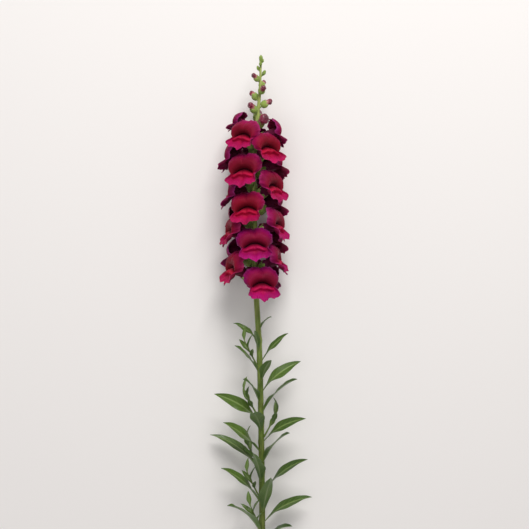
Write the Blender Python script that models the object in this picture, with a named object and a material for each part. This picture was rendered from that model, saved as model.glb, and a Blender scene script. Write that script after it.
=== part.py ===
"""A cut snapdragon stem lying on its back: stalk, florets, buds, leaves and side shoots.

Everything grows from one stalk line that runs from the tip down to the cut end. In the growing frame
the tip is towards +Y and the best side of the flower spike faces up, +Z. A last turn and shift lay the
stem on the surface z = 0. Lengths in the values below are millimetres, angles are degrees, and the
finished meshes are in metres.
"""
import math
import random

import bmesh
import bpy
import numpy as np
from mathutils import Euler, Vector

MM = 0.001
SEAT_GAP = 0.35

# Stalk, by distance from the tip
STEM_LENGTH = 600.0
STALK_SIDEWAYS = ((0, 2), (30, 1), (100, -5), (200, -4), (300, 1), (420, 4), (600, 6))
STALK_HEIGHT = ((0, 36), (60, 34), (150, 34), (270, 33), (400, 18.5), (600, -1.0))
STALK_RADIUS = ((0, 1.0), (30, 1.4), (80, 2.1), (150, 2.6), (270, 2.8), (400, 3.0), (600, 3.2))
STALK_STEP = 24.0
CUT_SLANT = 30.0
TIP_BUD_LENGTH, TIP_BUD_RADIUS = 7.0, 1.9

# Buds and florets, from the tip down
FIRST_GROWTH = 4.0
GROWTH_GAP = ((0, 3.0), (20, 5.8), (60, 7.0), (90, 6.8), (120, 7.4), (600, 7.4))
GREEN_BUDS, NOSED_BUDS, ROUND_BUDS, FLORETS = 4, 6, 2, 23
TURN_PER_GROWTH = 141.5
LOWEST_AZIMUTH = 10.0
GROWTH_SIZE = ((0, 0.45), (20, 0.6), (50, 0.78), (75, 0.86), (115, 1.0), (600, 1.0))
OPENING = (0.72, 0.9)
SPIKE_SEED = 13

# Corolla, about the pedicel's root: y up the stalk, z away from it
TUBE_PATH = ((0.0, 3.1, 3.6), (0.0, 9.6, 10.5), (0.0, 12.6, 19.0))
TUBE_RADIUS = ((0.0, 0.0), (0.2, 4.3), (0.62, 5.3), (1.0, 7.0))
TUBE_STATIONS = (0.62, 0.2)
MOUTH_HALF_WIDTH = 9.6
MOUTH_RISE = 1.6
MOUTH_SAG = 4.6
MOUTH_SLIT = 0.35
LIP_REACH = (
    (0, 15.8), (14, 17.4), (32, 18.9), (56, 19.6), (80, 17.8),
    (104, 13.6), (122, 18.6), (138, 17.8), (158, 14.4), (180, 16.8),
)
UPPER_PROFILE = ((0, 0.8), (0.2, 4.0), (0.34, 4.8), (0.52, 4.3), (0.78, 0.8), (1.0, -4.4))
LOWER_PROFILE = ((0, 0.0), (0.2, 2.2), (0.34, 3.0), (0.52, 3.8), (0.78, 8.4), (1.0, 10.8))
PALATE_PROFILE = ((0, 0.0), (0.16, 3.8), (0.32, 4.6), (0.52, 1.2), (0.78, 0.2), (1.0, 0.0))
LIP_STATIONS = (0.0, 0.22, 0.52, 0.78, 1.0)
BLADE_STATIONS = (1.0, 0.78, 0.52)
LIP_THICKNESS = 0.8
SIDE_LIFT = 3.2
RUFFLE, RUFFLES = 0.9, 7

# Calyx cup, by its place along the corolla's tube
CALYX_COLUMNS = 10
CALYX_WALL = 0.9
CALYX_TIP, CALYX_NOTCH = 0.44, 0.27
PEDICEL_RADIUS = 1.0
PEDICEL_ROOT, PEDICEL_END = (0.0, -0.8, -1.0), (0.0, 2.2, 2.5)

# Bud corollas: a hooked nose, then a round hood; a green bud is still closed in its calyx
NOSE_PATH = ((0.0, 3.1, 3.6), (0.0, 10.2, 9.6), (0.0, 9.6, 15.6))
NOSE_RADIUS = ((0.0, 0.0), (0.2, 3.6), (0.5, 3.5), (0.78, 3.9), (0.92, 2.8), (1.0, 0.0))
HOOD_PATH = ((0.0, 3.1, 3.6), (0.0, 11.4, 11.4), (0.0, 12.2, 20.0))
HOOD_RADIUS = ((0.0, 0.0), (0.2, 4.0), (0.45, 4.2), (0.75, 6.0), (0.92, 4.4), (1.0, 0.0))
BUD_STATIONS = (0.2, 0.42, 0.62, 0.78, 0.92)
BUD_COLUMNS = 8
GREEN_PATH = ((0.0, -0.8, -1.0), (0.0, 5.0, 5.0), (0.0, 12.0, 6.0))
GREEN_RADIUS = ((0.0, 1.0), (0.2, 1.1), (0.55, 3.2), (0.82, 2.3), (1.0, 0.0))
GREEN_STATIONS = (0.0, 0.2, 0.5, 0.8)
GREEN_COLUMNS = 6

# Bract under each pedicel: half width and half thickness at its root and middle
BRACT_PATH = ((0.0, -1.8, -1.2), (0.0, -0.6, 4.0), (0.0, 1.2, 7.0))
BRACT_ROOT, BRACT_MIDDLE = (1.3, 0.7), (1.7, 0.45)

# Leaves on the stalk, from just below the flowers down
LEAF_FIRST, LEAF_LAST, LEAVES = 268.0, 482.0, 22
LEAF_TURN, LEAF_SPREAD = 137.5, 105.0
LEAF_AZIMUTH = 60.0
LEAF_ANGLE, LEAF_ARCH = (30.0, 44.0), (20.0, 50.0)
LEAF_LENGTH = ((268, 24), (300, 38), (350, 54), (440, 58), (480, 50))
LEAF_WIDTH = ((268, 5.5), (300, 9.0), (350, 14.0), (480, 15.5))
LEAF_OUTLINE = ((0, 0.22), (0.15, 0.45), (0.42, 1.0), (0.7, 0.74), (0.9, 0.3), (1.0, 0.08))
LEAF_STATIONS = (0.0, 0.2, 0.45, 0.75, 1.0)
LEAF_ROLL = 50.0
LEAF_THICKNESS = 0.7
LEAF_FOLD = 18.0
LEAF_ROOT = 0.9
LEAF_SEED = 25

# Side shoots: the axil they grow in, counted from the highest leaf, their turn from that leaf and their lean
SHOOTS = ((5, 0, 8), (10, 0, 8), (12, 8, 8), (15, -8, 8), (18, 8, 8), (21, 0, 14))
SHOOT_RADIUS = 0.9
SHOOT_PATH = ((0.0, 0.2, 1.1), (0.0, 14.0, 6.5), (0.0, 27.0, 10.5))
SHOOT_STATIONS = (0.0, 0.35, 0.7, 1.0)
SHOOT_BLADES = ((0.3, 95, 17.0), (0.5, -85, 19.0), (0.72, 60, 17.0), (1.0, -25, 15.0))
SHOOT_BLADE_STATIONS = (0.0, 0.45, 1.0)
SHOOT_BLADE_WIDTH, SHOOT_BLADE_WAVE = 5.5, 0.3
SHOOT_BLADE_ANGLE, SHOOT_BLADE_ARCH = 32.0, 25.0

# How the stem lies once it is put down
REST_ROLL, REST_PITCH = 3.4776, -0.3797
REST_SHIFT = (-4.159, 296.367, 0.415)

# Colour and roughness of each finish
FINISHES = {
    "stem_green": ((0.30, 0.42, 0.10), 0.55),
    "petal": ((0.50, 0.010, 0.11), 0.62),
    "bud_petal": ((0.36, 0.012, 0.07), 0.35),
    "leaf_green": ((0.10, 0.22, 0.05), 0.50),
}


def curve(x, knots):
    """Smooth curve through (place, value) knots: cubic pieces that never overshoot a knot."""
    places = np.array([knot[0] for knot in knots], float)
    values = np.array([knot[1] for knot in knots], float)
    grade = np.diff(values) / np.diff(places)
    product = grade[:-1] * grade[1:]
    inner = np.where(product > 0, 2 * product / np.where(product > 0, grade[:-1] + grade[1:], 1), 0)
    slopes = np.concatenate([grade[:1], inner, grade[-1:]])
    x = np.clip(np.asarray(x, float), places[0], places[-1])
    i = np.clip(np.searchsorted(places, x, side="right") - 1, 0, len(places) - 2)
    step = places[i + 1] - places[i]
    t = (x - places[i]) / step
    rise = t * t * (3 - 2 * t)
    bend = step * (slopes[i] * t * (1 - t) ** 2 + slopes[i + 1] * t * t * (t - 1))
    return values[i] * (1 - rise) + values[i + 1] * rise + bend


def ease(x, low, high):
    """0 below low, 1 above high, with a smooth rise between."""
    t = np.clip((np.asarray(x, float) - low) / (high - low), 0, 1)
    return t * t * (3 - 2 * t)


def bezier(t, path):
    """Points at t on a curve that leaves path[0] towards path[1] and ends at path[2]."""
    a, b, c = (np.array(point, float) for point in path)
    t = np.asarray(t, float)[..., None]
    return a * (1 - t) ** 2 + b * 2 * t * (1 - t) + c * t * t


def stalk_point(distance):
    """The stalk's centre line at a distance from the tip, in the growing frame."""
    distance = np.asarray(distance, float)
    sideways, height = curve(distance, STALK_SIDEWAYS), curve(distance, STALK_HEIGHT)
    return np.stack([sideways, -distance, height], axis=-1)


def stalk_axes(distance, azimuth):
    """Sideways, up-the-stalk and outward directions of a growth; azimuth 0 faces up."""
    along = stalk_point(distance - 1.0) - stalk_point(distance + 1.0)
    along /= np.linalg.norm(along)
    up = np.array([0.0, 0.0, 1.0]) - along * along[2]
    up /= np.linalg.norm(up)
    turn = math.radians(azimuth)
    outward = math.cos(turn) * up + math.sin(turn) * np.cross(along, up)
    return np.array([np.cross(along, outward), along, outward])


def place(points, growth):
    """Local points of a growth, leaned, scaled and set on the stalk's skin."""
    lean = Euler([math.radians(a) for a in growth["lean"]], "XYZ").to_matrix()
    axes = stalk_axes(growth["distance"], growth["azimuth"])
    skin = curve(growth["distance"], STALK_RADIUS) - SEAT_GAP
    root = stalk_point(growth["distance"]) + axes[2] * skin
    return root + np.asarray(points, float) * growth["size"] @ np.array(lean).T @ axes


def rest(points):
    """From the growing frame to the frame of the surface that the stem lies on, in metres."""
    turn = Euler((math.radians(REST_PITCH), math.radians(REST_ROLL), 0.0), "XYZ").to_matrix()
    return (np.asarray(points, float) @ np.array(turn).T + np.array(REST_SHIFT)) * MM


def list_growths():
    """Buds and florets from the tip down, each with its place, azimuth, size and small lean."""
    draw = random.Random(SPIKE_SEED)
    kinds = ["green"] * GREEN_BUDS + ["nose"] * NOSED_BUDS + ["hood"] * ROUND_BUDS + ["floret"] * FLORETS
    growths = []
    distance = FIRST_GROWTH
    for i, kind in enumerate(kinds):
        azimuth = LOWEST_AZIMUTH + (len(kinds) - 1 - i) * TURN_PER_GROWTH + draw.uniform(-5, 5)
        growths.append({
            "kind": kind,
            "distance": distance,
            "azimuth": (azimuth + 180) % 360 - 180,
            "size": float(curve(distance, GROWTH_SIZE)) * draw.uniform(0.97, 1.03),
            "lean": (draw.uniform(-4, 4), draw.uniform(-5, 5), draw.uniform(-5, 5)),
            "phase": draw.uniform(0, 2 * math.pi),
            "open": 1.0,
        })
        distance += float(curve(distance, GROWTH_GAP))
    opening = growths[-FLORETS:]
    for growth, share in zip(opening, OPENING):
        growth["open"] = share
    return growths


def loft(rings, turned_bands=(), turned_columns=()):
    """Bands of triangles through rings of equal count. Turned bands and columns take their quads' other
    diagonal, so that both faces of a thin blade are split alike."""
    bm = bmesh.new()
    rows = [[bm.verts.new(rest(point)) for point in ring] for ring in rings]
    count = len(rows[0])
    for band in range(len(rows) - 1):
        for j in range(count):
            a, b = rows[band][j], rows[band][(j + 1) % count]
            d, c = rows[band + 1][j], rows[band + 1][(j + 1) % count]
            if band in turned_bands or j in turned_columns:
                bm.faces.new((a, b, d))
                bm.faces.new((b, c, d))
            else:
                bm.faces.new((a, b, c))
                bm.faces.new((a, c, d))
    return bm, rows


def close_to_pole(bm, row, point):
    pole = bm.verts.new(rest(point))
    for j in range(len(row)):
        bm.faces.new((row[j], row[(j + 1) % len(row)], pole))


def close_slit(bm, row):
    """Joins the upper and lower edges of the mouth's narrow slit, quad by quad, both ways from its middle."""
    bottom = len(row) // 2
    for side in (1, -1):
        for j in range(len(row) // 4):
            lower = (row[side * (bottom - j - 1)], row[side * (bottom - j)])
            bm.faces.new((row[side * j], row[side * (j + 1)], *lower))


def finish_solid(bm, name, collection, finish):
    """Turns a closed loft into a named object with its finish, faces pointing out."""
    bmesh.ops.recalc_face_normals(bm, faces=bm.faces)
    mesh = bpy.data.meshes.new(name)
    bm.to_mesh(mesh)
    bm.free()
    return add_object(name, mesh, collection, finish)


def add_object(name, mesh, collection, finish):
    obj = bpy.data.objects.new(name, mesh)
    collection.objects.link(obj)
    if finish not in bpy.data.materials:
        material = bpy.data.materials.new(finish)
        material.use_nodes = True
        shader = material.node_tree.nodes["Principled BSDF"]
        shader.inputs["Base Color"].default_value = (*FINISHES[finish][0], 1.0)
        shader.inputs["Roughness"].default_value = FINISHES[finish][1]
        shader.inputs["Metallic"].default_value = 0.0
    mesh.materials.clear()
    mesh.materials.append(bpy.data.materials[finish])
    return obj


def path_ring(angle, t, path, radius):
    """Round section of a bent tube at t, one t and radius for all angles or one each. The angle starts at
    the tube's upper side."""
    t = np.broadcast_to(t, angle.shape)
    centre = bezier(t, path)
    along = bezier(t + 0.01, path) - bezier(t - 0.01, path)
    along /= np.linalg.norm(along, axis=-1, keepdims=True)
    sideways = np.array([1.0, 0.0, 0.0])
    direction = np.sin(angle)[:, None] * sideways + np.cos(angle)[:, None] * np.cross(along, sideways)
    return centre + np.broadcast_to(radius, angle.shape)[:, None] * direction


def around(columns):
    return np.arange(columns) * 2 * math.pi / columns


def lip_front(angle, q, growth):
    """Front of the face about the mouth. The angle runs round from the top, q from the mouth's slit to the
    lips' edge. In plan a point goes straight from the arched slit to the lobed outline. The upper profile
    swells over the mouth and rolls back; the lower one is the spreading lip, with the palate's dome on it."""
    side = np.degrees(np.abs((angle + math.pi) % (2 * math.pi) - math.pi))
    reach = curve(side, LIP_REACH) * growth["open"]
    lower = ease(side, 92, 118)
    slit_x = MOUTH_HALF_WIDTH * np.sin(angle) * growth["open"]
    slit_y = MOUTH_RISE - MOUTH_SAG * np.sin(angle) ** 2 + MOUTH_SLIT * np.cos(angle)
    x = slit_x + (reach * np.sin(angle) - slit_x) * q
    y = slit_y + (reach * np.cos(angle) - slit_y) * q
    upper_z = curve(q, UPPER_PROFILE) + SIDE_LIFT * q * q * ease(side, 30, 85)
    lower_z = curve(q, LOWER_PROFILE) + curve(q, PALATE_PROFILE) * ease(side, 104, 146)
    z = upper_z * (1 - lower) + lower_z * lower
    z = z + RUFFLE * q ** 3 * np.sin(RUFFLES * angle + growth["phase"])
    return np.stack([x, y, z], axis=-1)


def lip_back(angle, q, growth):
    """Back of a lip: the front moved in by the blade's thickness, square to the surface."""
    step = 0.01
    across = lip_front(angle + step, q, growth) - lip_front(angle - step, q, growth)
    outward = lip_front(angle, q + step, growth) - lip_front(angle, q - step, growth)
    normal = np.cross(across, outward)
    normal /= np.linalg.norm(normal, axis=-1, keepdims=True)
    return lip_front(angle, q, growth) - normal * LIP_THICKNESS


def make_floret(name, growth, collection):
    """One corolla: from the mouth's slit out over the lips, round their edge and back down the tube."""
    half = [math.radians(knot[0]) for knot in LIP_REACH]
    angle = np.array(half + [-a for a in half[-2:0:-1]])
    mouth = np.array(TUBE_PATH[2])
    rings = [mouth + lip_front(angle, q, growth) for q in LIP_STATIONS]
    rings += [mouth + lip_back(angle, q, growth) for q in BLADE_STATIONS]
    rings += [path_ring(angle, t, TUBE_PATH, curve(t, TUBE_RADIUS)) for t in TUBE_STATIONS]
    rim = len(LIP_STATIONS) - 1
    bm, rows = loft([place(ring, growth) for ring in rings], turned_bands=(rim + 1, rim + 2))
    close_slit(bm, rows[0])
    close_to_pole(bm, rows[-1], place(TUBE_PATH[0], growth))
    return finish_solid(bm, name, collection, "petal")


BUD_SHAPES = {
    "nose": (NOSE_PATH, NOSE_RADIUS),
    "hood": (HOOD_PATH, HOOD_RADIUS),
    "floret": (TUBE_PATH, TUBE_RADIUS),
}


def make_bud(name, growth, collection):
    """One closed bud corolla, from its base in the calyx to its bent tip."""
    path, radius = BUD_SHAPES[growth["kind"]]
    angle = around(BUD_COLUMNS)
    rings = [path_ring(angle, t, path, curve(t, radius)) for t in BUD_STATIONS]
    bm, rows = loft([place(ring, growth) for ring in rings])
    close_to_pole(bm, rows[0], place(path[0], growth))
    close_to_pole(bm, rows[-1], place(path[2], growth))
    return finish_solid(bm, name, collection, "bud_petal")


def make_calyx(growth, collection):
    """Pedicel and five-lobed cup in one loft: up the outside, over the rim and down the inside, which is
    clear of the corolla by the seat gap."""
    path, radius = BUD_SHAPES[growth["kind"]]
    angle = around(CALYX_COLUMNS)
    rim = np.where(np.arange(CALYX_COLUMNS) % 2 == 0, CALYX_TIP, CALYX_NOTCH)
    low = TUBE_STATIONS[-1]
    flat = math.cos(math.pi / CALYX_COLUMNS)
    inside_low = (float(curve(low, radius)) + SEAT_GAP) / flat
    inside_rim = (curve(rim, radius) + SEAT_GAP) / flat
    stalk_end = path_ring(angle, 0.0, path, PEDICEL_RADIUS) - np.array(path[0])
    inner_pole = np.array(path[0]) + (np.array(PEDICEL_END) - np.array(path[0])) * 0.55
    rings = [
        stalk_end * 1.2 + np.array(PEDICEL_ROOT),
        stalk_end + np.array(PEDICEL_END) * 0.7,
        path_ring(angle, low, path, inside_low + CALYX_WALL),
        path_ring(angle, rim, path, inside_rim + CALYX_WALL * 0.8),
        path_ring(angle, rim, path, inside_rim),
        path_ring(angle, low, path, inside_low),
    ]
    bm, rows = loft([place(ring, growth) for ring in rings])
    bm.faces.new(rows[0])
    close_to_pole(bm, rows[-1], place(inner_pole, growth))
    return finish_solid(bm, "calyx", collection, "stem_green")


def make_green_bud(growth, collection):
    angle = around(GREEN_COLUMNS)
    rings = [path_ring(angle, t, GREEN_PATH, curve(t, GREEN_RADIUS)) for t in GREEN_STATIONS]
    bm, rows = loft([place(ring, growth) for ring in rings])
    bm.faces.new(rows[0])
    close_to_pole(bm, rows[-1], place(GREEN_PATH[2], growth))
    return finish_solid(bm, "green_bud", collection, "stem_green")


def make_bract(growth, collection):
    """Short pointed blade with a diamond section, its root sunk in the stalk."""
    rings = []
    for t, (half_width, half_thickness) in ((0.0, BRACT_ROOT), (0.5, BRACT_MIDDLE)):
        corners = path_ring(around(4), t, BRACT_PATH, 1.0) - bezier(t, BRACT_PATH)
        scale = np.array([half_thickness, half_width, half_thickness, half_width])[:, None]
        rings.append(bezier(t, BRACT_PATH) + corners * scale)
    bm, rows = loft([place(ring, growth) for ring in rings])
    bm.faces.new(rows[0])
    close_to_pole(bm, rows[-1], place(BRACT_PATH[2], growth))
    return finish_solid(bm, "bract", collection, "stem_green")


def make_tip_bud(collection):
    """The closed bud that ends the stalk."""
    start = stalk_point(4.0)
    end = stalk_point(0.0) + np.array([0.0, TIP_BUD_LENGTH - 2.0, 1.0])
    path = (start, (start + end) / 2 + np.array([0.0, 1.0, 0.0]), end)
    angle = around(GREEN_COLUMNS)
    rings = [path_ring(angle, 0.0, path, 0.8), path_ring(angle, 0.3, path, TIP_BUD_RADIUS * 0.8)]
    rings.append(path_ring(angle, 0.65, path, TIP_BUD_RADIUS))
    bm, rows = loft(rings)
    bm.faces.new(rows[0])
    close_to_pole(bm, rows[-1], end)
    return finish_solid(bm, "tip_bud", collection, "stem_green")


def make_stalk(collection):
    """The stalk as a bevelled curve made a mesh, with a slanted cut at its lower end."""
    distances = np.append(np.arange(2.0, STEM_LENGTH - 1, STALK_STEP), STEM_LENGTH)
    line = bpy.data.curves.new("stalk", "CURVE")
    line.dimensions = "3D"
    line.bevel_depth = 1.0
    line.bevel_resolution = 2
    line.use_fill_caps = True
    spline = line.splines.new("POLY")
    spline.points.add(len(distances) - 1)
    for point, distance in zip(spline.points, distances):
        point.co = (*rest(stalk_point(distance)), 1.0)
        point.radius = float(curve(distance, STALK_RADIUS)) * MM
    tube = bpy.data.objects.new("stalk_line", line)
    collection.objects.link(tube)
    bpy.context.view_layer.update()
    graph = bpy.context.evaluated_depsgraph_get()
    mesh = bpy.data.meshes.new_from_object(tube.evaluated_get(graph))
    bpy.data.objects.remove(tube)
    bm = bmesh.new()
    bm.from_mesh(mesh)
    bmesh.ops.remove_doubles(bm, verts=bm.verts, dist=0.00001)
    slant = math.radians(CUT_SLANT)
    cut = bmesh.ops.bisect_plane(
        bm, geom=bm.verts[:] + bm.edges[:] + bm.faces[:], dist=0.00001,
        plane_co=Vector(rest(stalk_point(STEM_LENGTH - 4.0))),
        plane_no=Vector((0.0, -math.cos(slant), math.sin(slant))), clear_outer=True,
    )
    rim = [item for item in cut["geom_cut"] if isinstance(item, bmesh.types.BMEdge)]
    bmesh.ops.edgeloop_fill(bm, edges=rim)
    return finish_solid(bm, "stalk", collection, "stem_green")


def fuse(base, others, name):
    """Joins a collection of solids to the base with one Boolean union, and removes them."""
    others_collection = bpy.data.collections.new(name + "_parts")
    for obj in others:
        for collection in obj.users_collection:
            collection.objects.unlink(obj)
        others_collection.objects.link(obj)
    union = base.modifiers.new("union", "BOOLEAN")
    union.operation = "UNION"
    union.operand_type = "COLLECTION"
    union.collection = others_collection
    union.solver = "MANIFOLD"
    graph = bpy.context.evaluated_depsgraph_get()
    mesh = bpy.data.meshes.new_from_object(base.evaluated_get(graph))
    base.modifiers.clear()
    base.data = mesh
    base.name = name
    for obj in others:
        bpy.data.objects.remove(obj)
    bpy.data.collections.remove(others_collection)
    return base


def blade_rings(stations, length, width, angle, arch, wave, roll, start=(0.0, 0.0, 0.0)):
    """Sections of a lance-shaped blade. Its midrib is an arc that leaves the stalk at an angle and turns
    by arch along its length, and the blade rolls about it. Each section has left, middle and right points
    on the upper face and the same three below. The two halves are folded up along the midrib and their
    edges wave."""
    first, turn = math.radians(angle), math.radians(arch)
    fold = math.radians(LEAF_FOLD)
    rings = []
    for u in stations:
        slope = first + turn * u
        arc = (math.sin(slope) - math.sin(first), math.cos(first) - math.cos(slope))
        middle = np.array([0.0, arc[0] * length / turn, arc[1] * length / turn]) + np.array(start)
        square, sideways = np.array([0.0, math.sin(slope), -math.cos(slope)]), np.array([1.0, 0.0, 0.0])
        rolled = math.radians(roll) * float(ease(u, 0.0, 0.6))
        upper = square * math.cos(rolled) + sideways * math.sin(rolled)
        half = 0.5 * width * float(curve(u, LEAF_OUTLINE))
        lift = upper * (half * math.sin(fold) + wave * math.sin(9 * u) * u)
        side = (sideways * math.cos(rolled) - square * math.sin(rolled)) * half * math.cos(fold)
        row = [middle - side + lift, middle, middle + side + lift]
        skin = upper * LEAF_THICKNESS / 2
        rings.append(np.array([p + skin for p in row] + [p - skin for p in row[::-1]]))
    return rings


def close_blade(bm, rows):
    bm.faces.new(rows[0])
    bm.faces.new(rows[-1])


def list_leaves():
    """Stalk leaves from the highest down; azimuths turn steadily and are eased away from the underside."""
    draw = random.Random(LEAF_SEED)
    leaves = []
    for i, distance in enumerate(np.linspace(LEAF_FIRST, LEAF_LAST, LEAVES)):
        turned = (i * LEAF_TURN + LEAF_AZIMUTH + 180) % 360 - 180
        leaves.append({
            "distance": float(distance),
            "azimuth": turned * LEAF_SPREAD / 180,
            "size": 1.0,
            "lean": (0.0, draw.uniform(-10, 10), draw.uniform(-8, 8)),
            "length": float(curve(distance, LEAF_LENGTH)) * draw.uniform(0.85, 1.1),
            "width": float(curve(distance, LEAF_WIDTH)) * draw.uniform(0.9, 1.1),
            "angle": draw.uniform(*LEAF_ANGLE),
            "arch": draw.uniform(*LEAF_ARCH),
            "wave": draw.uniform(0.6, 1.4),
            "roll": -LEAF_ROLL * math.sin(math.radians(turned * LEAF_SPREAD / 180)) + draw.uniform(-20, 20),
        })
    return leaves


def make_leaf(name, leaf, collection):
    shape = [leaf[key] for key in ("length", "width", "angle", "arch", "wave", "roll")]
    rings = blade_rings(LEAF_STATIONS, *shape, start=(0.0, 0.0, LEAF_ROOT))
    bm, rows = loft([place(ring, leaf) for ring in rings], turned_columns=(3, 4))
    close_blade(bm, rows)
    return finish_solid(bm, name, collection, "leaf_green")


def make_shoot(name, leaf, turn, lean, collection):
    """Thin leafy shoot in the axil above a leaf: a stalk with small blades sunk into it, fused."""
    azimuth = leaf["azimuth"] + turn
    growth = dict(leaf, distance=leaf["distance"] - 5.0, azimuth=azimuth, lean=(lean, 0.0, 0.0))
    path, angle = SHOOT_PATH, around(6)
    rings = [path_ring(angle, t, path, SHOOT_RADIUS * (1 - 0.4 * t)) for t in SHOOT_STATIONS]
    bm, rows = loft([place(ring, growth) for ring in rings])
    bm.faces.new(rows[0])
    bm.faces.new(rows[-1])
    stalk = finish_solid(bm, "shoot_stalk", collection, "leaf_green")
    blades = []
    for t, side, length in SHOOT_BLADES:
        side = math.radians(side)
        along = bezier(t + 0.01, path) - bezier(t - 0.01, path)
        along /= np.linalg.norm(along)
        up = np.cross(along, (1.0, 0.0, 0.0))
        outward = math.cos(side) * up + math.sin(side) * np.array([1.0, 0.0, 0.0])
        axes = np.array([np.cross(along, outward), along, outward])
        bend = (SHOOT_BLADE_ANGLE, SHOOT_BLADE_ARCH, SHOOT_BLADE_WAVE, 0.0)
        rings = blade_rings(SHOOT_BLADE_STATIONS, length, SHOOT_BLADE_WIDTH, *bend)
        rings = [bezier(t, path) + ring @ axes for ring in rings]
        bm, rows = loft([place(ring, growth) for ring in rings], turned_columns=(3, 4))
        close_blade(bm, rows)
        blades.append(finish_solid(bm, "blade", collection, "leaf_green"))
    return fuse(stalk, blades, name)


def build():
    for obj in list(bpy.data.objects):
        bpy.data.objects.remove(obj)
    collection = bpy.data.collections.new("snapdragon_stem")
    bpy.context.scene.collection.children.link(collection)

    growths = list_growths()
    green = [make_tip_bud(collection)]
    for growth in growths:
        if growth["kind"] == "green":
            green.append(make_green_bud(growth, collection))
        else:
            green.append(make_calyx(growth, collection))
        if growth["kind"] == "floret":
            green.append(make_bract(growth, collection))
    fuse(make_stalk(collection), green, "stem")

    florets = [g for g in growths if g["kind"] == "floret"][::-1]
    for i, growth in enumerate(florets, 1):
        make_floret(f"floret_{i:02d}", growth, collection)
    buds = [g for g in growths if g["kind"] in ("nose", "hood")][::-1]
    for i, growth in enumerate(buds, 1):
        make_bud(f"bud_{i:02d}", growth, collection)

    leaves = list_leaves()
    for i, leaf in enumerate(leaves, 1):
        make_leaf(f"leaf_{i:02d}", leaf, collection)
    for i, (axil, turn, lean) in enumerate(SHOOTS, 1):
        make_shoot(f"shoot_{i:02d}", leaves[axil - 1], turn, lean, collection)


build()
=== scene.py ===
"""Cut snapdragon stem lying on a pale surface, seen straight from above with its tip away.

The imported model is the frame. Each section grows one kind of piece from the same rules as the solids,
on a finer grid, and adds what the solids leave out: creases, frilled edges, veins, hairs and colour.
Lengths of the plant are millimetres and angles are degrees, and rest() turns them into metres. The studio
is in metres.
"""
import math
import random

import bpy
import numpy as np
from mathutils import Euler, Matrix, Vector


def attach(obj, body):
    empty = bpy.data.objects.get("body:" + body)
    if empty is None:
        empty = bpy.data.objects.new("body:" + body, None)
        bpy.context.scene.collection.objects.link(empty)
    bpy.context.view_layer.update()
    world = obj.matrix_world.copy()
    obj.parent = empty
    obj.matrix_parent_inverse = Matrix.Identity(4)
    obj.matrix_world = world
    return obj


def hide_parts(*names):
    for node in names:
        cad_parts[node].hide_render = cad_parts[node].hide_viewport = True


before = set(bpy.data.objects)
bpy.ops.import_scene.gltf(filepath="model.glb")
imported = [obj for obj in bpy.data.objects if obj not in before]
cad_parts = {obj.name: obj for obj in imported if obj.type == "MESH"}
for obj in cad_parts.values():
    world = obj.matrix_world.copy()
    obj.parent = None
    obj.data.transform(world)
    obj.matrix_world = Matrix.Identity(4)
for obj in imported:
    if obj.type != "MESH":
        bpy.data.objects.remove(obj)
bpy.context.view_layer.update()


# Stalk. One green stem from the cut end to the tip, round and slightly ribbed, yellow-green among the
# flowers and darker below. It swells a little under each leaf and flower, and keeps small brown scars
# where the lowest leaves were stripped. Its lower end is a slanted knife cut through pale pith.
STEM_LENGTH, CUT_SLANT = 600.0, 30.0
STALK_SIDEWAYS = ((0, 2), (30, 1), (100, -5), (200, -4), (300, 1), (420, 4), (600, 6))
STALK_HEIGHT = ((0, 36), (60, 34), (150, 34), (270, 33), (400, 18.5), (600, -1.0))
STALK_RADIUS = ((0, 1.0), (30, 1.4), (80, 2.1), (150, 2.6), (270, 2.8), (400, 3.0), (600, 3.2))
STALK_COLUMNS, SPIKE_ROWS, LOWER_ROWS, SPIKE_END = 48, 260, 200, 280.0
RIBS, RIB_HEIGHT, RIB_TWIST = 5, 0.025, 0.01
CUSHIONED_FROM, BUD_CUSHION, LEAF_CUSHION, SCAR_CUSHION = 20.0, 0.35, 0.6, 0.45
BUD_CUSHION_BELOW, LEAF_CUSHION_BELOW, CUSHION_LENGTH, CUSHION_SPREAD = 1.0, 1.5, 2.6, 32.0
SCAR_ABOVE, SCAR_LENGTH, SCAR_SPREAD = 0.4, 1.5, 26.0
CUT_MIDDLE, CUT_RINGS, PITH_CROWN = STEM_LENGTH - 4.0, (1.0, 0.96, 0.7, 0.35), 0.15
SEAT_GAP = 0.35
REST_ROLL, REST_PITCH = 3.4776, -0.3797
REST_SHIFT = (-4.159, 296.367, 0.415)
METRES, LOWEST = 0.001, 0.00002
SIDEWAYS = np.array([1.0, 0.0, 0.0])


def curve(x, knots):
    """Smooth curve through (place, value) knots: cubic pieces that never overshoot a knot."""
    places = np.array([knot[0] for knot in knots], float)
    values = np.array([knot[1] for knot in knots], float)
    grade = np.diff(values) / np.diff(places)
    product = grade[:-1] * grade[1:]
    inner = np.where(product > 0, 2 * product / np.where(product > 0, grade[:-1] + grade[1:], 1), 0)
    slopes = np.concatenate([grade[:1], inner, grade[-1:]])
    x = np.clip(np.asarray(x, float), places[0], places[-1])
    i = np.clip(np.searchsorted(places, x, side="right") - 1, 0, len(places) - 2)
    step = places[i + 1] - places[i]
    t = (x - places[i]) / step
    rise = t * t * (3 - 2 * t)
    bend = step * (slopes[i] * t * (1 - t) ** 2 + slopes[i + 1] * t * t * (t - 1))
    return values[i] * (1 - rise) + values[i + 1] * rise + bend


def ease(x, low, high):
    """0 below low, 1 above high, with a smooth rise between."""
    t = np.clip((np.asarray(x, float) - low) / (high - low), 0, 1)
    return t * t * (3 - 2 * t)


def hump(x, middle, width):
    """A rounded ridge of height 1: the bell curve exp(-((x - middle) / width) squared)."""
    return np.exp(-((x - middle) / width) ** 2)


def unit(vectors):
    return vectors / np.linalg.norm(vectors, axis=-1, keepdims=True)


def circle(columns):
    return np.linspace(0, 2 * math.pi, columns, endpoint=False)


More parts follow.
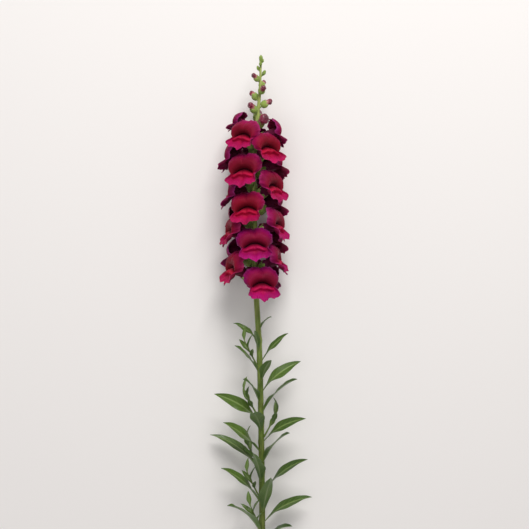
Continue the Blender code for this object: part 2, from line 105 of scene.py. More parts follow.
def stalk_point(distance):
    """The stalk's centre line at a distance from the tip."""
    distance = np.asarray(distance, float)
    sideways, height = curve(distance, STALK_SIDEWAYS), curve(distance, STALK_HEIGHT)
    return np.stack([sideways, -distance, height], axis=-1)


def stalk_axes(distance, azimuth):
    """Sideways, up-the-stalk and outward directions at a distance; azimuth 0 faces up."""
    along = unit(stalk_point(distance - 1.0) - stalk_point(distance + 1.0))
    up = unit(np.array([0.0, 0.0, 1.0]) - along * along[..., 2:])
    turn = np.radians(azimuth)[..., None]
    outward = np.cos(turn) * up + np.sin(turn) * np.cross(along, up)
    return np.stack([np.cross(along, outward), along, outward], axis=-2)


def rest(points):
    """Turns the growing frame into the lying stem's frame, in metres. Nothing sinks under the sheet."""
    turn = np.array(Euler((math.radians(REST_PITCH), math.radians(REST_ROLL), 0.0), "XYZ").to_matrix())
    placed = (np.asarray(points, float) @ turn.T + np.array(REST_SHIFT)) * METRES
    placed[..., 2] = np.maximum(placed[..., 2], LOWEST)
    return placed


def put(name, data):
    """A new object, linked into the scene."""
    made = bpy.data.objects.new(name, data)
    bpy.context.scene.collection.objects.link(made)
    return made


def build_piece(name, skins, finish, slot, *nodes):
    """One smooth object from closed skins. A skin is a grid of points, rows by columns, closed round its
    columns and drawn to one point before its first row and after its last. The UV map 'skin' holds the
    place round and along it, and 'mark' is a value from 0 to 1 at each point. Faces point outwards."""
    places, corners, sizes, maps, marks = [], [], [], [], []
    start = 0
    for skin in skins:
        grid = np.asarray(skin["grid"], float)
        rows, columns = grid.shape[:2]
        along = np.broadcast_to(np.asarray(skin["along"], float), (rows,))
        around = np.asarray(skin.get("around", np.linspace(0, 1, columns + 1)), float)
        points = np.concatenate([[skin["first"]], grid.reshape(-1, 3), [skin["last"]]])
        here = 1 + np.arange(rows * columns).reshape(rows, columns)
        beside = np.roll(here, -1, axis=1)
        quads = np.stack([here[:-1], beside[:-1], beside[1:], here[1:]], axis=-1).reshape(-1, 4)
        ends = np.concatenate([
            np.stack([beside[0], here[0], np.zeros(columns, int)], axis=-1),
            np.stack([here[-1], beside[-1], np.full(columns, rows * columns + 1)], axis=-1),
        ])
        uv = np.stack(np.broadcast_arrays(around[None, :], along[:, None]), axis=-1)
        quad_uv = np.stack([uv[:-1, :-1], uv[:-1, 1:], uv[1:, 1:], uv[1:, :-1]], axis=2).reshape(-1, 4, 2)
        middle = (uv[:, :-1] + uv[:, 1:]) / 2
        end_uv = np.concatenate([
            np.stack([uv[0, 1:], uv[0, :-1], middle[0]], axis=1),
            np.stack([uv[-1, :-1], uv[-1, 1:], middle[-1]], axis=1),
        ])
        triangles = np.concatenate([quads[:, [0, 1, 2]], quads[:, [0, 2, 3]], ends])
        a, b, c = (points[triangles[:, k]] for k in range(3))
        if (a * np.cross(b, c)).sum() < 0:
            quads, quad_uv, ends, end_uv = quads[:, ::-1], quad_uv[:, ::-1], ends[:, ::-1], end_uv[:, ::-1]
        places.append(rest(points))
        corners += [quads.ravel() + start, ends.ravel() + start]
        sizes += [np.full(len(quads), 4), np.full(len(ends), 3)]
        maps += [quad_uv.reshape(-1, 2), end_uv.reshape(-1, 2)]
        mark = np.broadcast_to(skin.get("mark", 0.0), (rows, columns)).ravel()
        marks.append(np.concatenate([mark[:1], mark, mark[-1:]]))
        start += len(points)
    places, corners, sizes = np.concatenate(places), np.concatenate(corners), np.concatenate(sizes)
    mesh = bpy.data.meshes.new(name)
    mesh.vertices.add(len(places))
    mesh.vertices.foreach_set("co", places.ravel())
    mesh.loops.add(len(corners))
    mesh.loops.foreach_set("vertex_index", corners)
    mesh.polygons.add(len(sizes))
    mesh.polygons.foreach_set("loop_start", np.concatenate([[0], np.cumsum(sizes)[:-1]]))
    mesh.polygons.foreach_set("loop_total", sizes)
    mesh.uv_layers.new(name="skin").data.foreach_set("uv", np.concatenate(maps).ravel())
    mesh.attributes.new("mark", "FLOAT", "POINT").data.foreach_set("value", np.concatenate(marks))
    mesh.update(calc_edges=True)
    mesh.shade_smooth()
    mesh.materials.append(finish)
    piece = put(name, mesh)
    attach(piece, "root")
    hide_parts(*nodes)


def new_finish(name, **settings):
    """A material with its Principled shader's plain values set on the shader itself."""
    material = bpy.data.materials.new(name)
    material.use_nodes = True
    shader = material.node_tree.nodes["Principled BSDF"]
    for socket, value in settings.items():
        shader.inputs[socket.replace("_", " ")].default_value = value
    return material


def add(tree, kind, inputs=(), out=0, **settings):
    """Adds a shader node and returns one of its outputs. An input is a value or another output."""
    node = tree.nodes.new("ShaderNode" + kind)
    for key, value in settings.items():
        setattr(node, key, value)
    for key, value in dict(inputs).items():
        if isinstance(value, bpy.types.NodeSocket):
            tree.links.new(value, node.inputs[key])
        else:
            node.inputs[key].default_value = value
    return node.outputs[out]


def maths(tree, operation, *values):
    return add(tree, "Math", enumerate(values), operation=operation)


def times(tree, first, second):
    return maths(tree, "MULTIPLY", first, second)


def step_mask(tree, value, low, high):
    """0 where the value is below low, 1 above high, smooth between; low may be the larger."""
    inputs = {"Value": value, "From Min": low, "From Max": high, "To Min": 0.0, "To Max": 1.0}
    return add(tree, "MapRange", inputs, interpolation_type="SMOOTHSTEP", clamp=True)


def mix_colour(tree, mask, base, other, blend="MIX"):
    """The base colour where the mask is 0, the other where it is 1, or the two multiplied."""
    inputs = {0: mask, 6: base, 7: other}
    return add(tree, "Mix", inputs, out=2, data_type="RGBA", blend_type=blend)


def colour_ramp(tree, value, stops):
    node = tree.nodes.new("ShaderNodeValToRGB")
    tree.links.new(value, node.inputs[0])
    band = node.color_ramp
    while len(band.elements) < len(stops):
        band.elements.new(0.5)
    for element, (place, colour) in zip(band.elements, stops):
        element.position, element.color = place, (*colour, 1.0)
    return node.outputs[0]


def skin_places(tree):
    """The UV map's two coordinates, round and along a skin."""
    uv = add(tree, "UVMap", uv_map="skin")
    separate = tree.nodes.new("ShaderNodeSeparateXYZ")
    tree.links.new(uv, separate.inputs[0])
    return separate.outputs[0], separate.outputs[1]


def make_living_grain():
    """Node group for every plant skin: 'Mottle' is slow uneven colour, 'Grain' fine cells for relief."""
    group = bpy.data.node_groups.new("living_grain", "ShaderNodeTree")
    group.interface.new_socket("Vector", in_out="INPUT", socket_type="NodeSocketVector")
    group.interface.new_socket("Size", in_out="INPUT", socket_type="NodeSocketFloat")
    group.interface.new_socket("Mottle", in_out="OUTPUT", socket_type="NodeSocketFloat")
    group.interface.new_socket("Grain", in_out="OUTPUT", socket_type="NodeSocketFloat")
    entry, leave = group.nodes.new("NodeGroupInput"), group.nodes.new("NodeGroupOutput")
    coarse = add(group, "TexNoise", {"Vector": entry.outputs[0], "Scale": 70.0, "Detail": 3.0})
    fine = add(group, "TexNoise", {"Vector": entry.outputs[0], "Scale": entry.outputs[1], "Detail": 2.0})
    group.links.new(step_mask(group, coarse, 0.3, 0.7), leave.inputs[0])
    group.links.new(fine, leave.inputs[1])
    return group


def grain_of(tree, size):
    """Mottle and grain outputs of the shared group, on Object coordinates."""
    node = tree.nodes.new("ShaderNodeGroup")
    node.node_tree = bpy.data.node_groups.get("living_grain") or make_living_grain()
    tree.links.new(add(tree, "TexCoord", out="Object"), node.inputs[0])
    node.inputs[1].default_value = size
    return node.outputs[0], node.outputs[1]


def dress(material, colour, value, smooth, rough, height, distance):
    """Leads a colour, a relief height and a roughness, from smooth to rough by a value, into the shader."""
    tree = material.node_tree
    shader = tree.nodes["Principled BSDF"]
    tree.links.new(colour, shader.inputs["Base Color"])
    roughness = add(tree, "MapRange", {"Value": value, "To Min": smooth, "To Max": rough})
    tree.links.new(roughness, shader.inputs["Roughness"])
    relief = add(tree, "Bump", {"Height": height, "Distance": distance, "Strength": 1.0})
    tree.links.new(relief, shader.inputs["Normal"])


def finish_stalk():
    """Fine lengthways fibres on a green that darkens down the stalk, brown scars, and pale pith."""
    material = new_finish("stalk_skin", Specular_IOR_Level=0.35, Subsurface_Weight=0.08,
                          Subsurface_Radius=(0.4, 1.0, 0.2), Subsurface_Scale=0.001)
    tree = material.node_tree
    along = skin_places(tree)[1]
    mottle, grain = grain_of(tree, 900.0)
    lengthways = add(tree, "Mapping", {0: add(tree, "TexCoord", out="Object"), 3: (900.0, 24.0, 900.0)})
    fibre = add(tree, "TexNoise", {"Vector": lengthways, "Scale": 1.0, "Detail": 2.0})
    green = colour_ramp(tree, along, [
        (0.0, (0.46, 0.53, 0.15)), (0.2, (0.36, 0.44, 0.10)), (0.5, (0.20, 0.28, 0.050)),
        (0.75, (0.15, 0.22, 0.035)), (0.97, (0.17, 0.23, 0.045)),
    ])
    tinged = mix_colour(tree, times(tree, mottle, 0.22), green, (0.20, 0.10, 0.05, 1.0))
    furrow = step_mask(tree, fibre, 0.62, 0.42)
    streaked = mix_colour(tree, furrow, tinged, (0.62, 0.66, 0.6, 1.0), "MULTIPLY")
    scar = add(tree, "Attribute", out="Fac", attribute_name="mark")
    scarred = mix_colour(tree, step_mask(tree, scar, 0.35, 0.8), streaked, (0.16, 0.10, 0.045, 1.0))
    pith = colour_ramp(tree, maths(tree, "SUBTRACT", along, 1.0), [
        (0.0, (0.13, 0.20, 0.04)), (0.2, (0.30, 0.40, 0.13)), (0.5, (0.50, 0.56, 0.30)),
        (1.0, (0.62, 0.66, 0.42)),
    ])
    colour = mix_colour(tree, step_mask(tree, along, 0.999, 1.001), scarred, pith)
    height = maths(tree, "ADD", times(tree, fibre, 0.8), times(tree, grain, 0.4))
    dress(material, colour, fibre, 0.42, 0.62, height, 0.00025)
    return material


# What grows on the stalk, from the tip down: closed green buds, hooked buds, two round ones and the open
# florets. Each is turned about 140 degrees from the one above it, so that five go nearly twice round.
FIRST_GROWTH = 4.0
GROWTH_GAP = ((0, 3.0), (20, 5.8), (60, 7.0), (90, 6.8), (120, 7.4), (600, 7.4))
GREEN_BUDS, NOSED_BUDS, ROUND_BUDS, FLORETS = 4, 6, 2, 23
TURN_PER_GROWTH, LOWEST_AZIMUTH, SPIKE_SEED = 141.5, 10.0, 13
GROWTH_SIZE = ((0, 0.45), (20, 0.6), (50, 0.78), (75, 0.86), (115, 1.0), (600, 1.0))
AZIMUTH_SWAY, SIZE_RANGE, LEAN_SWAY = 5.0, (0.97, 1.03), (4.0, 5.0, 5.0)
HIGHEST_OPENINGS = (0.72, 0.9)


def list_growths():
    """Buds and florets from the tip down, each with its place, azimuth, size and small lean."""
    draw = random.Random(SPIKE_SEED)
    kinds = ["green"] * GREEN_BUDS + ["nose"] * NOSED_BUDS + ["hood"] * ROUND_BUDS + ["floret"] * FLORETS
    growths = []
    distance = FIRST_GROWTH
    for i, kind in enumerate(kinds):
        azimuth = LOWEST_AZIMUTH + (len(kinds) - 1 - i) * TURN_PER_GROWTH
        azimuth += draw.uniform(-AZIMUTH_SWAY, AZIMUTH_SWAY)
        growths.append({
            "kind": kind,
            "distance": distance,
            "azimuth": (azimuth + 180) % 360 - 180,
            "size": float(curve(distance, GROWTH_SIZE)) * draw.uniform(*SIZE_RANGE),
            "lean": tuple(draw.uniform(-sway, sway) for sway in LEAN_SWAY),
            "phase": draw.uniform(0, 2 * math.pi),
            "open": 1.0,
        })
        distance += float(curve(distance, GROWTH_GAP))
    for growth, share in zip(growths[-FLORETS:], HIGHEST_OPENINGS):
        growth["open"] = share
    return growths


# Leaves stand alternately all the way down, in a steady turn about the stalk. The lowest were stripped off,
# and their places go on in the same turn.
LEAF_FIRST, LEAF_LAST, LEAVES = 268.0, 482.0, 22
LEAF_AZIMUTH, LEAF_TURN, LEAF_SPREAD, LEAF_SEED = 60.0, 137.5, 105.0, 25
LEAF_LENGTH = ((268, 24), (300, 38), (350, 54), (440, 58), (480, 50))
LEAF_WIDTH = ((268, 5.5), (300, 9.0), (350, 14.0), (480, 15.5))
LEAF_ANGLE, LEAF_ARCH, LEAF_WAVE, LEAF_ROLL, LEAF_ROLL_SWAY = (30, 44), (20, 50), (0.6, 1.4), 50.0, 20.0
LEAF_LEAN, LEAF_TWIST, LEAF_LENGTH_RANGE, LEAF_WIDTH_RANGE = 10.0, 8.0, (0.85, 1.1), (0.9, 1.1)
STRIPPED_LEAVES, STRIPPED_GAP = 9, 11.0


def list_leaves():
    """Stalk leaves from the highest down; azimuths turn steadily and are eased away from the underside."""
    draw = random.Random(LEAF_SEED)
    leaves = []
    for i, distance in enumerate(np.linspace(LEAF_FIRST, LEAF_LAST, LEAVES)):
        turned = (i * LEAF_TURN + LEAF_AZIMUTH + 180) % 360 - 180
        azimuth = turned * LEAF_SPREAD / 180
        level = -LEAF_ROLL * math.sin(math.radians(azimuth))
        leaves.append({
            "distance": float(distance),
            "azimuth": azimuth,
            "size": 1.0,
            "lean": (0.0, draw.uniform(-LEAF_LEAN, LEAF_LEAN), draw.uniform(-LEAF_TWIST, LEAF_TWIST)),
            "length": float(curve(distance, LEAF_LENGTH)) * draw.uniform(*LEAF_LENGTH_RANGE),
            "width": float(curve(distance, LEAF_WIDTH)) * draw.uniform(*LEAF_WIDTH_RANGE),
            "angle": draw.uniform(*LEAF_ANGLE),
            "arch": draw.uniform(*LEAF_ARCH),
            "wave": draw.uniform(*LEAF_WAVE),
            "roll": level + draw.uniform(-LEAF_ROLL_SWAY, LEAF_ROLL_SWAY),
        })
    return leaves


growths, leaves = list_growths(), list_leaves()
stripped = [
    (LEAF_LAST + STRIPPED_GAP * i, (LEAVES + i) * LEAF_TURN)
    for i in range(1, STRIPPED_LEAVES + 1)
]


def make_stalk():
    """Rings of points: radius, times ribs, plus a rounded cushion just below each seat. The last rings
    slide to the slanted plane of the cut, and the face of the cut closes inwards from them. The mark is 1
    on a leaf scar. Along the stalk it counts to 1, and from there to 2 over the face of the cut."""
    angle = circle(STALK_COLUMNS)
    spike = np.linspace(1.0, SPIKE_END, SPIKE_ROWS)
    distance = np.concatenate([spike, np.linspace(SPIKE_END + 1.0, STEM_LENGTH - 8.0, LOWER_ROWS)])
    below = [g for g in growths if g["distance"] > CUSHIONED_FROM]
    seats = [(g["distance"] + BUD_CUSHION_BELOW, g["azimuth"], BUD_CUSHION) for g in below]
    seats += [(leaf["distance"] + LEAF_CUSHION_BELOW, leaf["azimuth"], LEAF_CUSHION) for leaf in leaves]
    seats += [(place, azimuth, SCAR_CUSHION) for place, azimuth in stripped]
    place, azimuth, rise = np.array(seats).T
    off = (np.degrees(angle)[:, None] - azimuth + 180) % 360 - 180
    cushion = rise * hump(distance[:, None, None], place, CUSHION_LENGTH) * hump(off, 0, CUSHION_SPREAD)
    scar_place, scar_azimuth = np.array(stripped).T
    scar_off = (np.degrees(angle)[:, None] - scar_azimuth + 180) % 360 - 180
    scar = hump(distance[:, None, None], scar_place - SCAR_ABOVE, SCAR_LENGTH)
    scar = (scar * hump(scar_off, 0, SCAR_SPREAD)).max(-1)
    rib = RIB_HEIGHT * np.cos(RIBS * angle + distance[:, None] * RIB_TWIST)
    ribs = 1 + rib * ease(distance, 20, 80)[:, None]
    radius = curve(distance, STALK_RADIUS)[:, None] * ribs + cushion.max(-1)
    axes = stalk_axes(distance, np.zeros(len(distance)))
    out = np.cos(angle)[None, :, None] * axes[:, None, 2] - np.sin(angle)[None, :, None] * axes[:, None, 0]
    grid = stalk_point(distance)[:, None] + radius[..., None] * out
    cut_radius = curve(CUT_MIDDLE, STALK_RADIUS)
    slide = math.tan(math.radians(CUT_SLANT)) * np.cos(angle) * cut_radius
    share = np.array(CUT_RINGS)
    rim = stalk_point(CUT_MIDDLE - slide) + cut_radius * out[-1]
    face = stalk_point(CUT_MIDDLE) + (rim - stalk_point(CUT_MIDDLE)) * share[:, None, None]
    skin = {
        "grid": np.concatenate([grid, face]),
        "first": stalk_point(0.3),
        "last": stalk_point(CUT_MIDDLE) + np.array([0.0, PITH_CROWN, 0.0]),
        "along": np.concatenate([distance / STEM_LENGTH, 2 - share]),
        "mark": np.concatenate([scar, np.zeros((len(share), STALK_COLUMNS))]),
    }
    build_piece("stalk", [skin], finish_stalk(), "stem_green", "stem")


make_stalk()


# Leaves. Smooth, narrow, lance-shaped blades folded up along a paler midrib, their edges gently waved,
# dark green above and dull pale green below. Each tapers to a short foot that grows out of the stalk.
LEAF_OUTLINE = ((0, 0.22), (0.15, 0.45), (0.42, 1.0), (0.7, 0.74), (0.9, 0.3), (1.0, 0.02))
LEAF_THICKNESS, LEAF_FOLD, LEAF_ROOT, LEAF_SAG, LEAF_POINT = 0.6, 18.0, 0.9, 0.05, 0.4
EDGE_WAVES, EDGE_RIPPLES, RIPPLE_SHARE = 9.0, 27.0, 0.22
VEIN_WAVES, VEIN_SLANT, VEIN_RISE, HALF_LEAF = 38.0, 7.0, 0.05, 6.0
RIB_WIDTH, RIB_GROOVE, RIB_KEEL = 0.1, -0.22, 0.42
UPPER_MARK, TINT_STEP = 0.3, 0.37


def place(points, growth):
    """Local points of a growth, leaned, scaled and set on the stalk's skin."""
    lean = Euler([math.radians(a) for a in growth["lean"]], "XYZ").to_matrix()
    axes = stalk_axes(growth["distance"], np.array(growth["azimuth"]))
    skin = curve(growth["distance"], STALK_RADIUS) - SEAT_GAP
    root = stalk_point(growth["distance"]) + axes[2] * skin
    return root + np.asarray(points, float) * growth["size"] @ np.array(lean).T @ axes


def blade(length, width, angle, arch, wave, roll, tint, start=(0.0, 0.0, 0.0), rows=40, columns=14):
    """Grid of a blade: 'columns' across the upper face and as many back under it, so a row is a closed ring.
    Its mark is 1 on the lower face, and on the upper one up to UPPER_MARK by its tint, dark to yellow-green.
    The midrib is an arc from angle, turning by arch. Across, x runs from -1 to 1 and the half width is the
    lance outline. The height is the fold times |x|, plus the waved edge, the sunk rib and the veins."""
    u = np.linspace(-0.03, 1.0, rows)[:, None]
    x = np.cos(np.linspace(math.pi, 0, columns))
    x, under = np.concatenate([x, x[::-1]]), np.repeat([1.0, -1.0], columns)
    first, turn = math.radians(angle), math.radians(arch)
    slope = first + turn * u
    zero = np.zeros_like(u)
    arc = np.stack([zero, np.sin(slope) - math.sin(first), math.cos(first) - np.cos(slope)], axis=-1)
    middle = arc * length / turn + np.array(start)
    square = np.stack([zero, np.sin(slope), -np.cos(slope)], axis=-1)
    rolled = (math.radians(roll) * ease(u, 0.0, 0.6))[..., None]
    upper = square * np.cos(rolled) + SIDEWAYS * np.sin(rolled)
    side = SIDEWAYS * np.cos(rolled) - square * np.sin(rolled)
    half = 0.5 * width * curve(u, LEAF_OUTLINE)
    edge = np.abs(x) ** 1.4
    lift = edge * (half * math.sin(math.radians(LEAF_FOLD)) + wave * np.sin(EDGE_WAVES * u) * u)
    lift += RIPPLE_SHARE * wave * edge * np.sin(EDGE_RIPPLES * u + 2 * x) * u
    bulge = np.sin(math.pi * np.abs(x))
    lift += LEAF_SAG * half * bulge
    vein = np.sin(VEIN_WAVES * u - VEIN_SLANT * np.abs(x)) * bulge * VEIN_RISE * half / HALF_LEAF
    skin = LEAF_THICKNESS / 2 * (1 - 0.75 * x ** 2) * (1 - 0.6 * ease(u, 0.5, 1.0))
    rib = hump(x, 0, RIB_WIDTH) * (1 - 0.8 * u) * np.where(under > 0, RIB_GROOVE, RIB_KEEL)
    height = lift + under * (skin + rib) + vein
    spread = x * half * math.cos(math.radians(LEAF_FOLD))
    return {
        "grid": middle + side * spread[..., None] + upper * height[..., None],
        "first": middle[0, 0],
        "last": middle[-1, 0] + unit(arc[-1, 0] - arc[-2, 0]) * LEAF_POINT,
        "along": u[:, 0],
        "around": np.concatenate([np.linspace(0, 0.5, columns), np.linspace(0.5, 1.0, columns), [1.0]]),
        "mark": np.where(under < 0, 1.0, UPPER_MARK * tint),
    }


def place_skin(skin, growth):
    """A skin whose grid and two end points are set on the stalk."""
    return dict(skin, **{key: place(skin[key], growth) for key in ("grid", "first", "last")})


def finish_leaf():
    """The upper face goes from dark to yellow-green by the blade's tint, with a pale rib and slanted veins.
    The lower face is a paler, duller green, and the foot takes the stalk's colour."""
    material = new_finish("leaf_skin", Specular_IOR_Level=0.5, Subsurface_Weight=0.06,
                          Subsurface_Radius=(0.3, 1.0, 0.15), Subsurface_Scale=0.0008)
    tree = material.node_tree
    around, along = skin_places(tree)
    mottle, grain = grain_of(tree, 1100.0)
    under = add(tree, "Attribute", out="Fac", attribute_name="mark")
    across = maths(tree, "PINGPONG", times(tree, around, 4.0), 1.0)
    rib = step_mask(tree, across, 0.88, 0.985)
    slanted = maths(tree, "ADD", times(tree, along, 52.0), times(tree, across, 13.0))
    vein = step_mask(tree, maths(tree, "SINE", slanted), 0.78, 0.99)
    tint = step_mask(tree, under, 0.0, UPPER_MARK)
    upper = mix_colour(tree, tint, (0.026, 0.066, 0.010, 1.0), (0.095, 0.165, 0.020, 1.0))
    upper = mix_colour(tree, times(tree, mottle, 0.4), upper, (0.080, 0.15, 0.018, 1.0))
    upper = mix_colour(tree, times(tree, vein, 0.35), upper, (0.15, 0.25, 0.06, 1.0))
    upper = mix_colour(tree, times(tree, rib, 0.8), upper, (0.24, 0.33, 0.10, 1.0))
    lower = mix_colour(tree, mottle, (0.085, 0.165, 0.032, 1.0), (0.13, 0.22, 0.050, 1.0))
    lower = mix_colour(tree, times(tree, rib, 0.7), lower, (0.30, 0.38, 0.18, 1.0))
    colour = mix_colour(tree, step_mask(tree, under, 0.4, 0.6), upper, lower)
    foot = mix_colour(tree, step_mask(tree, along, 0.14, 0.0), colour, (0.20, 0.28, 0.06, 1.0))
    height = maths(tree, "SUBTRACT", times(tree, grain, 0.6), times(tree, vein, 0.5))
    dress(material, foot, mottle, 0.3, 0.44, height, 0.00018)
    return material


leaf_skin = finish_leaf()
for i, leaf in enumerate(leaves, 1):
    shape = [leaf[key] for key in ("length", "width", "angle", "arch", "wave", "roll")]
    flat = blade(*shape, tint=(TINT_STEP * i) % 1.0, start=(0.0, 0.0, LEAF_ROOT))
    build_piece(f"leaf_blade_{i:02d}", [place_skin(flat, leaf)], leaf_skin, "leaf_green", f"leaf_{i:02d}")


# Side shoots. Short leafy twigs, each a thin green stalk with four small young blades. They grow out of
# the stalk just above the foot of six of the leaves.
SHOOTS = ((5, 0, 8), (10, 0, 8), (12, 8, 8), (15, -8, 8), (18, 8, 8), (21, 0, 14))
SHOOT_RADIUS, SHOOT_TAPER, SHOOT_ABOVE = 0.9, 0.45, 5.0
SHOOT_PATH = ((0.0, 0.2, 1.1), (0.0, 14.0, 6.5), (0.0, 27.0, 10.5))
SHOOT_BLADES = ((0.3, 95, 17.0), (0.5, -85, 19.0), (0.72, 60, 17.0), (1.0, -25, 15.0))
YOUNG_SHAPE, YOUNG_TINT = (5.5, 32.0, 25.0, 0.3, 0.0), 0.9


def bezier(t, path):
    """Points at t on a curve that leaves path[0] towards path[1] and ends at path[2]."""
    a, b, c = (np.array(point, float) for point in path)
    t = np.asarray(t, float)[..., None]
    return a * (1 - t) ** 2 + b * 2 * t * (1 - t) + c * t * t


def path_rings(t, angle, path, radius):
    """Round sections of a bent tube at each t, with angle 0 on its upper side: centre + radius times the
    direction. t and radius are one for each ring, or one for each point."""
    t = np.broadcast_to(t, np.broadcast_shapes(np.shape(t), angle.shape))
    centre = bezier(t, path)
    along = unit(bezier(t + 0.01, path) - bezier(t - 0.01, path))
    direction = np.sin(angle)[..., None] * SIDEWAYS + np.cos(angle)[..., None] * np.cross(along, SIDEWAYS)
    return centre + np.broadcast_to(radius, t.shape)[..., None] * direction


def make_shoot(name, node, leaf, turn, lean):
    """The twig's tube and its blades, each blade set at t on the twig and turned by side about it."""
    growth = dict(leaf, distance=leaf["distance"] - SHOOT_ABOVE, azimuth=leaf["azimuth"] + turn)
    growth["lean"] = (lean, 0.0, 0.0)
    t = np.linspace(-0.08, 1.0, 20)[:, None]
    tube = path_rings(t, circle(10), SHOOT_PATH, SHOOT_RADIUS * (1 - SHOOT_TAPER * t))
    start, end = bezier(-0.1, SHOOT_PATH), bezier(1.02, SHOOT_PATH)
    skins = [{"grid": tube, "first": start, "last": end, "along": 0.06}]
    for t, side, length in SHOOT_BLADES:
        along = unit(bezier(t + 0.01, SHOOT_PATH) - bezier(t - 0.01, SHOOT_PATH))
        up, turned = np.cross(along, SIDEWAYS), math.radians(side)
        outward = math.cos(turned) * up + math.sin(turned) * SIDEWAYS
        axes = np.array([np.cross(along, outward), along, outward])
        young = blade(length, *YOUNG_SHAPE, tint=YOUNG_TINT, rows=24, columns=9)
        for key in ("grid", "first", "last"):
            young[key] = bezier(t, SHOOT_PATH) + young[key] @ axes
        skins.append(young)
    skins = [place_skin(skin, growth) for skin in skins]
    build_piece(name, skins, leaf_skin, "leaf_green", node)


for i, (axil, turn, lean) in enumerate(SHOOTS, 1):
    make_shoot(f"side_shoot_{i:02d}", f"shoot_{i:02d}", leaves[axil - 1], turn, lean)


# Calyces. Each flower stands on a short bent pedicel that ends in a cup of five soft green sepals, with a
# narrow bract below it. The four highest buds are still shut in theirs, and one more ends the stalk. They
# and the stalk among the flowers are finely hairy.
TUBE_PATH = ((0.0, 3.1, 3.6), (0.0, 9.6, 10.5), (0.0, 12.6, 19.0))
TUBE_RADIUS = ((0.0, 0.0), (0.2, 4.3), (0.62, 5.3), (1.0, 7.0))
NOSE_PATH = ((0.0, 3.1, 3.6), (0.0, 10.2, 9.6), (0.0, 9.6, 15.6))
NOSE_RADIUS = ((0.0, 0.0), (0.2, 3.6), (0.5, 3.5), (0.78, 3.9), (0.92, 2.8), (1.0, 0.0))
HOOD_PATH = ((0.0, 3.1, 3.6), (0.0, 11.4, 11.4), (0.0, 12.2, 20.0))
HOOD_RADIUS = ((0.0, 0.0), (0.2, 4.0), (0.45, 4.2), (0.75, 6.0), (0.92, 4.4), (1.0, 0.0))
COROLLAS = {
    "nose": (NOSE_PATH, NOSE_RADIUS),
    "hood": (HOOD_PATH, HOOD_RADIUS),
    "floret": (TUBE_PATH, TUBE_RADIUS),
}
CALYX_COLUMNS, CALYX_WALL, CALYX_TIP, CALYX_NOTCH, CALYX_LOW = 60, 0.9, 0.44, 0.27, 0.2
SEPAL_SHARPNESS, KEEL_HEIGHT, KEEL_SPREAD, WALL_THINNING, KEEL_FADING = 0.75, 0.22, 7.0, 0.72, 0.6
PEDICEL_ROWS, CUP_STEPS, WALL_ROWS, INNER_ROWS = 6, (0.35, 0.7, 0.9), 9, 4
PEDICEL_RADIUS, PEDICEL_ROOT, PEDICEL_END = 1.0, (0.0, -0.8, -1.0), (0.0, 2.2, 2.5)
PEDICEL_FLARE, PEDICEL_SHARE = 0.25, 0.7
GREEN_PATH = ((0.0, -0.8, -1.0), (0.0, 5.0, 5.0), (0.0, 12.0, 6.0))
GREEN_RADIUS = ((0.0, 1.0), (0.2, 1.1), (0.55, 3.2), (0.82, 2.3), (1.0, 0.0))
GREEN_SEAM, GREEN_SEAM_SPREAD, TIP_SEAM, TIP_SEAM_SPREAD = 0.1, 6.0, 0.12, 7.0
TIP_ROOT, TIP_END, TIP_BOW = 4.0, (0.0, 5.0, 1.0), (0.0, 1.0, 0.0)
TIP_RADIUS = ((0.0, 0.8), (0.3, 1.5), (0.65, 1.9), (1.0, 0.1))
BRACT_PATH = ((0.0, -1.8, -1.2), (0.0, -0.6, 4.0), (0.0, 1.2, 7.0))
BRACT_WIDTH = ((0.0, 1.3), (0.5, 1.7), (1.0, 0.12))
BRACT_DEPTH = ((0.0, 0.7), (0.5, 0.4), (1.0, 0.1))
HAIRS_EACH, STALK_HAIRS, CALYX_OUTER_ROWS, HAIR_SEED = 90, 1500, 17, 5
HAIR_RADIUS, HAIR_SINK, HAIR_ROOT, CALYX_HAIR, STALK_HAIR = 0.045, 0.06, 0.1, (0.35, 0.8), (0.3, 0.7)
HAIRY_STRETCH, CALYX_STREAK_TURN = (8.0, 262.0), 188.5


